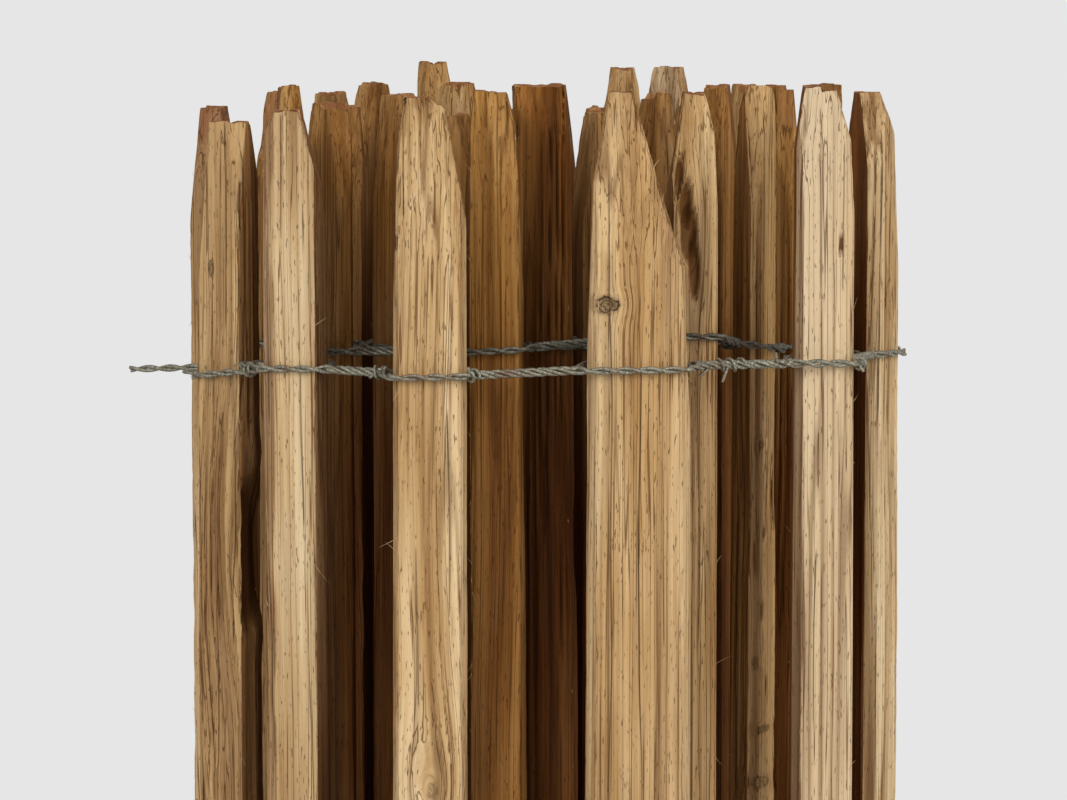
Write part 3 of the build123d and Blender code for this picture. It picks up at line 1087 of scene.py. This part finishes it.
def pairTwists(front, back, matches):
    # turns along both pairs, in step wherever they meet, so that a rope has even strands
    lead = wireShape["lead"]
    lengths = runLengths(front), runLengths(back)
    frontTurns, backTurns = [0.0], [0.0]
    for (i, j), (nextI, nextJ) in zip(matches, matches[1:]):
        frontStep = (lengths[0][nextI] - lengths[0][i]) / lead
        backStep = (lengths[1][nextJ] - lengths[1][j]) / lead
        frontTurns.append(frontTurns[-1] + frontStep)
        backTurns.append(backTurns[-1] + frontStep + round(2 * (backStep - frontStep)) / 2)
    twists = []
    for side, turns in enumerate((frontTurns, backTurns)):
        known = [lengths[side][match[side]] for match in matches]
        along = np.interp(lengths[side], known, turns)
        for i, length in enumerate(lengths[side]):
            if length < known[0]:
                along[i] = turns[0] - (known[0] - length) / lead
            if length > known[-1]:
                along[i] = turns[-1] + (length - known[-1]) / lead
        twists.append(along)
    return twists


def roundTheRoll(route):
    # how far round the roll each point lies, in degrees from the outer end
    angles = [math.atan2(point.y - rollAxis.y, point.x - rollAxis.x) for point in route]
    turned = np.degrees(np.unwrap(np.array(angles)))
    return turned - turned[0]


def makeRouteMesh(name, route, partner, matched, twists):
    # a pair's middle line, with the way to the other pair and its turns at every point
    mesh = bpy.data.meshes.new(name + "_route")
    mesh.from_pydata([tuple(p) for p in route], [(i, i + 1) for i in range(len(route) - 1)], [])
    together = np.zeros(len(route))
    halves = {own: (partner[other] - route[own]) / 2 for own, other in matched}
    level = sum(half.z for half in halves.values()) / len(halves)
    towards = np.tile(np.array([0.0, 0.0, level]), (len(route), 1))
    for own, half in halves.items():
        together[own] = 1.0
        towards[own] = tuple(half)
    # the wires of the inner turns get painted shade
    inside = smoothStep(wireShape["outerTurn"] - 25, wireShape["outerTurn"] + 15,
                        roundTheRoll(route))
    addAttribute(mesh, "together", together)
    addAttribute(mesh, "towards", towards)
    addAttribute(mesh, "deep", wireShape["turnShade"] * inside)
    addAttribute(mesh, "twist", twists)
    return mesh


def finishTree(tree, geometry, material):
    # smooth, real geometry in its metal or wood
    smooth = addNode(tree, "GeometryNodeSetShadeSmooth", {"Geometry": geometry})
    realize = addNode(tree, "GeometryNodeRealizeInstances", {"Geometry": smooth.outputs[0]})
    paint = addNode(tree, "GeometryNodeSetMaterial", {
        "Geometry": realize.outputs[0], "Material": material})
    addNode(tree, "NodeGroupOutput", {"Geometry": paint.outputs[0]})


def namedValue(tree, label, kind="FLOAT"):
    node = addNode(tree, "GeometryNodeInputNamedAttribute", {"Name": label}, data_type=kind)
    return node.outputs["Attribute"]


def makeTwistTree():
    # two round wires wound about a route that is rounded at its bends
    tree, start, identifiers = newTree("twistedPair", "GeometryNodeTree", {
        "Geometry": "Geometry", "wire": "Float", "pairReach": "Float", "ropeReach": "Float",
        "bend": "Float", "bendPoints": "Int", "step": "Float", "sides": "Int",
        "startTurn": "Float", "metal": "Material"}, {"Geometry": "Geometry"})
    curve = addNode(tree, "GeometryNodeMeshToCurve", {"Mesh": start["Geometry"]})
    fillet = addNode(tree, "GeometryNodeFilletCurve", {
        "Curve": curve.outputs[0], "Count": start["bendPoints"], "Radius": start["bend"],
        "Limit Radius": True}, mode="POLY")
    spaced = addNode(tree, "GeometryNodeResampleCurve", {
        "Curve": fillet.outputs[0], "Length": start["step"]}, mode="LENGTH")
    tangent = addNode(tree, "GeometryNodeInputTangent").outputs[0]
    side = vectorNode(tree, "NORMALIZE",
                      vectorNode(tree, "CROSS_PRODUCT", tangent, (0.0, 0.0, 1.0)))
    up = vectorNode(tree, "NORMALIZE", vectorNode(tree, "CROSS_PRODUCT", side, tangent))
    spread = mathNode(tree, "SUBTRACT", start["ropeReach"], start["pairReach"])
    reach = mathNode(tree, "MULTIPLY_ADD", spread, namedValue(tree, "together"),
                     start["pairReach"])
    towards = namedValue(tree, "towards", "FLOAT_VECTOR")
    turns = mathNode(tree, "ADD", namedValue(tree, "twist"), start["startTurn"])
    circle = addNode(tree, "GeometryNodeCurvePrimitiveCircle", {
        "Radius": start["wire"], "Resolution": start["sides"]})
    wires = addNode(tree, "GeometryNodeJoinGeometry")
    for half in (0.0, 0.5):  # the second wire lies across from the first
        angle = mathNode(tree, "MULTIPLY", mathNode(tree, "ADD", turns, half), math.tau)
        rise = mathNode(tree, "MULTIPLY", mathNode(tree, "COSINE", angle), reach)
        away = mathNode(tree, "MULTIPLY", mathNode(tree, "SINE", angle), reach)
        arm = vectorNode(tree, "ADD", vectorNode(tree, "SCALE", up, scale=rise),
                         vectorNode(tree, "SCALE", side, scale=away))
        wound = addNode(tree, "GeometryNodeSetPosition", {
            "Geometry": spaced.outputs[0], "Offset": vectorNode(tree, "ADD", arm, towards)})
        tube = addNode(tree, "GeometryNodeCurveToMesh", {
            "Curve": wound.outputs[0], "Profile Curve": circle.outputs[0], "Fill Caps": True})
        tree.links.new(tube.outputs[0], wires.inputs[0])
    finishTree(tree, wires.outputs[0], start["metal"])
    return tree, identifiers


twistTree, twistInputs = makeTwistTree()


def windPair(name, routeMesh, startTurn):
    sizes = {label: wireShape[label] for label in
             ("wire", "pairReach", "ropeReach", "bend", "bendPoints", "step", "sides")}
    mesh = growMesh(name, routeMesh, twistTree, twistInputs,
                    {**sizes, "startTurn": startTurn, "metal": wireMetal})
    wires = newObject(name + "_wires", mesh)
    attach(wires, "root")
    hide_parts(name)
    print(name, "wound,", len(mesh.polygons), "faces")


def windLine(line):
    # the two pairs of a line start a quarter turn apart, so that four strands make a rope
    front, back = routes[line + "_front"], routes[line + "_back"]
    matches = matchPairs(front, back)
    frontTwists, backTwists = pairTwists(front, back, matches)
    windPair(line + "_front", makeRouteMesh(line + "_front", front, back, matches, frontTwists),
             0.0)
    matches = [(j, i) for i, j in matches]
    windPair(line + "_back", makeRouteMesh(line + "_back", back, front, matches, backTwists),
             0.25)


for line in ("top_line", "bottom_line"):
    windLine(line)


def makeTubeTree():
    # a tube along each line of edges, as thick as its points say
    tree, start, identifiers = newTree("thinTubes", "GeometryNodeTree", {
        "Geometry": "Geometry", "sides": "Int", "paint": "Material"}, {"Geometry": "Geometry"})
    thickness = namedValue(tree, "thickness")
    curve = addNode(tree, "GeometryNodeMeshToCurve", {"Mesh": start["Geometry"]})
    sized = addNode(tree, "GeometryNodeSetCurveRadius", {
        "Curve": curve.outputs[0], "Radius": thickness})
    circle = addNode(tree, "GeometryNodeCurvePrimitiveCircle", {
        "Radius": 1.0, "Resolution": start["sides"]})
    tube = addNode(tree, "GeometryNodeCurveToMesh", {
        "Curve": sized.outputs[0], "Profile Curve": circle.outputs[0], "Scale": thickness,
        "Fill Caps": True})
    finishTree(tree, tube.outputs[0], start["paint"])
    return tree, identifiers


tubeTree, tubeInputs = makeTubeTree()


def makeTubes(name, paths, sides, material):
    # each path is a list of points, each with the tube's radius there
    points, edges, thickness = [], [], []
    for path in paths:
        first = len(points)
        for point, radius in path:
            points.append(tuple(point))
            thickness.append(radius)
        edges += [(first + i, first + i + 1) for i in range(len(path) - 1)]
    lines = bpy.data.meshes.new(name + "_paths")
    lines.from_pydata(points, edges, [])
    addAttribute(lines, "thickness", np.array(thickness))
    mesh = growMesh(name, lines, tubeTree, tubeInputs, {"sides": sides, "paint": material})
    tubes = newObject(name, mesh)
    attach(tubes, "root")
    print(name, len(paths), "tubes,", len(mesh.polygons), "faces")


jointLook = {
    "wire": 0.0008,
    "sides": 8,
    "wrapReach": 0.0029,  # from the rope's middle to a wire wrapped round it
    "wrapSteps": 12,  # to a turn
    # photo column of each cut end, and how far it sticks out to the right and up
    "ends": [(246, -0.0035, 0.0044), (377, -0.0036, -0.0024), (382, 0.0022, 0.0034),
             (470, -0.0008, 0.0046), (728, -0.0030, -0.0080), (712, -0.0065, -0.0052),
             (783, 0.0036, 0.0030), (777, -0.0010, 0.0058), (858, 0.0026, -0.0036)],
    # on an end's way to its tip: how far it has come forwards, what share of its way to the side
    # and up, and how thick it still is
    "endBends": [(0.0, 0.0, 1.0), (0.0016, 0.25, 1.0), (0.0030, 0.7, 1.0), (0.0034, 1.0, 0.9)],
    # photo column, turns and length of each wrapped joint
    "wraps": [(251, 1.3, 0.006), (380, 1.2, 0.005), (472, 1.3, 0.005), (730, 2.2, 0.014),
              (860, 1.2, 0.005)],
}


def ropeDrop():
    # how far the rope's middle lies above the front pair's own line, below it if negative
    front, back = routes["top_line_front"], routes["top_line_back"]
    drops = [(back[j] - front[i]).z / 2 for i, j in matchPairs(front, back)]
    return Vector((0, 0, sum(drops) / len(drops)))


wireDrop = ropeDrop()


def wireAt(column):
    # the point of the photographed line at that column, and the way it runs there
    route = routes["top_line_front"]
    for a, b, turned in zip(route, route[1:], roundTheRoll(route)):
        if turned < 200 and min(a.y, b.y) < 0:  # the front half of the outer turn
            low, high = photoPixel(a)[0], photoPixel(b)[0]
            if low <= column <= high and high - low > 0.5:
                return a.lerp(b, (column - low) / (high - low)) + wireDrop, (b - a).normalized()
    raise ValueError(f"no wire at column {column}")


def wireEnd(column, right, up):
    start, _ = wireAt(column)
    forwards, aside = Vector((0, -1, 0)), Vector((right, 0, up))
    return [(start + forwards * reach + aside * share, jointLook["wire"] * thickness)
            for reach, share, thickness in jointLook["endBends"]]


def wireWrap(column, turns, length):
    middle, along = wireAt(column)
    side = along.cross(Vector((0, 0, 1))).normalized()
    up = side.cross(along).normalized()
    path = []
    steps = max(8, round(turns * jointLook["wrapSteps"]))
    for step in range(steps + 1):
        share = step / steps
        angle = math.tau * turns * share
        arm = up * math.cos(angle) + side * math.sin(angle)
        point = middle + along * (share - 0.5) * length + arm * jointLook["wrapReach"]
        path.append((point, jointLook["wire"]))
    return path


joints = [wireEnd(*end) for end in jointLook["ends"]]
joints += [wireWrap(*wrap) for wrap in jointLook["wraps"]]
makeTubes("wire_joints", joints, jointLook["sides"], wireMetal)

splinterLook = {
    "count": 420,
    "sides": 4,
    "length": (0.0018, 0.0075),
    "thickness": (0.00008, 0.00026),
    "lean": (0.08, 0.5),
    "curl": (-0.1, 0.35),
    "seed": 11,
    "rooted": 0.0004,  # how deep in the wood each starts
    # photo column and row, length, way to the right and up of the long hairs that show
    "hairs": [(333, 545, 0.016, 0.15, -1.0), (331, 560, 0.012, 0.45, -0.8),
              (384, 540, 0.010, -0.9, -0.5), (384, 556, 0.009, -0.6, 0.9),
              (722, 665, 0.010, 0.7, 0.5), (726, 780, 0.010, 0.4, 0.9),
              (524, 470, 0.009, -0.4, -0.9), (523, 620, 0.010, -0.5, 0.8),
              (470, 590, 0.008, 0.5, -0.9), (859, 415, 0.007, 0.7, 0.7),
              (862, 300, 0.008, 0.3, 1.0), (326, 345, 0.008, 0.8, 0.6),
              (641, 372, 0.010, 0.05, 1.0), (795, 360, 0.006, 0.5, 0.9)],
    "hairThickness": 0.00013,
    "hairCurl": (-0.3, 0.5),
    "hairForwards": 0.35,
}


def makeSplinterWood():
    material, tree = newMaterial("splinterWood")
    grain = useGrain(tree, addNode(tree, "ShaderNodeTexCoord").outputs["Object"])
    colour = threeTones(tree, grain, chestnutLook["beige"], 0.5)
    shadeSurface(tree, colour, grain["Streaks"], grain["Height"], endLook)
    return material


def growSplinter(root, out, way, length, radius, curl):
    # thinner and more bent towards its end
    path = []
    for share in (0.0, 0.25, 0.5, 0.75, 1.0):
        point = root - out * splinterLook["rooted"] + way * length * share
        path.append((point + out * curl * share * share, radius * (1 - 0.8 * share)))
    return path


def makeSplinters():
    look = splinterLook
    draws = np.random.default_rng(look["seed"])
    paths = []
    for index in draws.choice(len(splinterRoots), look["count"], replace=False):
        root, out = splinterRoots[index]
        lean = draws.uniform(*look["lean"])
        rise = draws.choice([-1, 1])
        way = (out * lean + Vector((draws.uniform(-0.2, 0.2), 0, rise))).normalized()
        length = draws.uniform(*look["length"]) * draws.uniform(0.4, 1)
        thickness = draws.uniform(*look["thickness"])
        paths.append(growSplinter(root, out, way, length, thickness,
                                  draws.uniform(*look["curl"]) * length))
    pixels = np.array([photoPixel(root) for root, _ in splinterRoots])
    for column, row, length, right, up in look["hairs"]:
        away = np.hypot(pixels[:, 0] - column, pixels[:, 1] - row)
        root, out = splinterRoots[int(away.argmin())]
        way = Vector((right, -look["hairForwards"], up)).normalized()
        paths.append(growSplinter(root, out, way, length, look["hairThickness"],
                                  draws.uniform(*look["hairCurl"]) * length))
    makeTubes("splinters", paths, look["sides"], makeSplinterWood())


makeSplinters()

studio = {
    "background": srgb(230, 230, 230),
    "floor": srgb(230, 230, 230),
    "floorRadius": 1.6,
    "floorFade": [(0.45, 0.0), (0.95, 1.0)],  # shares of the radius between which it clears
    "floorDrop": 0.0005,
    "sky": 0.55,
    "aim": 0.6,  # the height at which the lamps point
    "key": (-1.5, -2.7, 2.4, 1.8, 46.0),  # place, size and watts
    "fill": (2.3, -1.9, 1.8, 1.8, 44.0),
}


def makeWorld():
    world = bpy.data.worlds.new("studio")
    world.use_nodes = True
    tree = world.node_tree
    tree.nodes.clear()
    rays = addNode(tree, "ShaderNodeLightPath").outputs
    shown = mathNode(tree, "MAXIMUM", rays["Is Camera Ray"],
                     mathNode(tree, "MAXIMUM", rays["Is Glossy Ray"],
                              rays["Is Transmission Ray"]))
    light = addNode(tree, "ShaderNodeBackground", {
        "Color": (1, 1, 1, 1), "Strength": studio["sky"]})
    seen = addNode(tree, "ShaderNodeBackground", {"Color": studio["background"]})
    mix = addNode(tree, "ShaderNodeMixShader", {
        0: shown, 1: light.outputs[0], 2: seen.outputs[0]})
    addNode(tree, "ShaderNodeOutputWorld", {"Surface": mix.outputs[0]})
    bpy.context.scene.world = world


def makeFloor():
    # a pale disc that clears into the background at its rim
    radius = studio["floorRadius"]
    material, tree = newMaterial("floorPaint")
    away = vectorNode(tree, "LENGTH", addNode(tree, "ShaderNodeTexCoord").outputs["Object"])
    fade = ramp(tree, mathNode(tree, "DIVIDE", away, radius), studio["floorFade"])
    paint = addNode(tree, "ShaderNodeBsdfDiffuse", {"Color": studio["floor"]})
    clear = addNode(tree, "ShaderNodeBsdfTransparent")
    mix = addNode(tree, "ShaderNodeMixShader", {
        0: fade, 1: paint.outputs[0], 2: clear.outputs[0]})
    addNode(tree, "ShaderNodeOutputMaterial", {"Surface": mix.outputs[0]})
    net = bmesh.new()
    bmesh.ops.create_circle(net, cap_ends=True, radius=radius, segments=96)
    mesh = bpy.data.meshes.new("floor")
    net.to_mesh(mesh)
    net.free()
    mesh.materials.append(material)
    floor = newObject("floor", mesh)
    floor.location = (0, 0, -studio["floorDrop"])


def makeLight(name):
    x, y, z, size, watts = studio[name]
    data = bpy.data.lights.new(name, "AREA")
    data.size = size
    data.energy = watts
    lamp = newObject(name, data)
    lamp.location = (x, y, z)
    aim = Vector((rollAxis.x, rollAxis.y, studio["aim"])) - lamp.location
    lamp.rotation_mode = "QUATERNION"
    lamp.rotation_quaternion = aim.to_track_quat("-Z", "Y")


makeWorld()
makeFloor()
makeLight("key")
makeLight("fill")
bpy.context.scene.view_settings.view_transform = "Standard"
print("studio made")
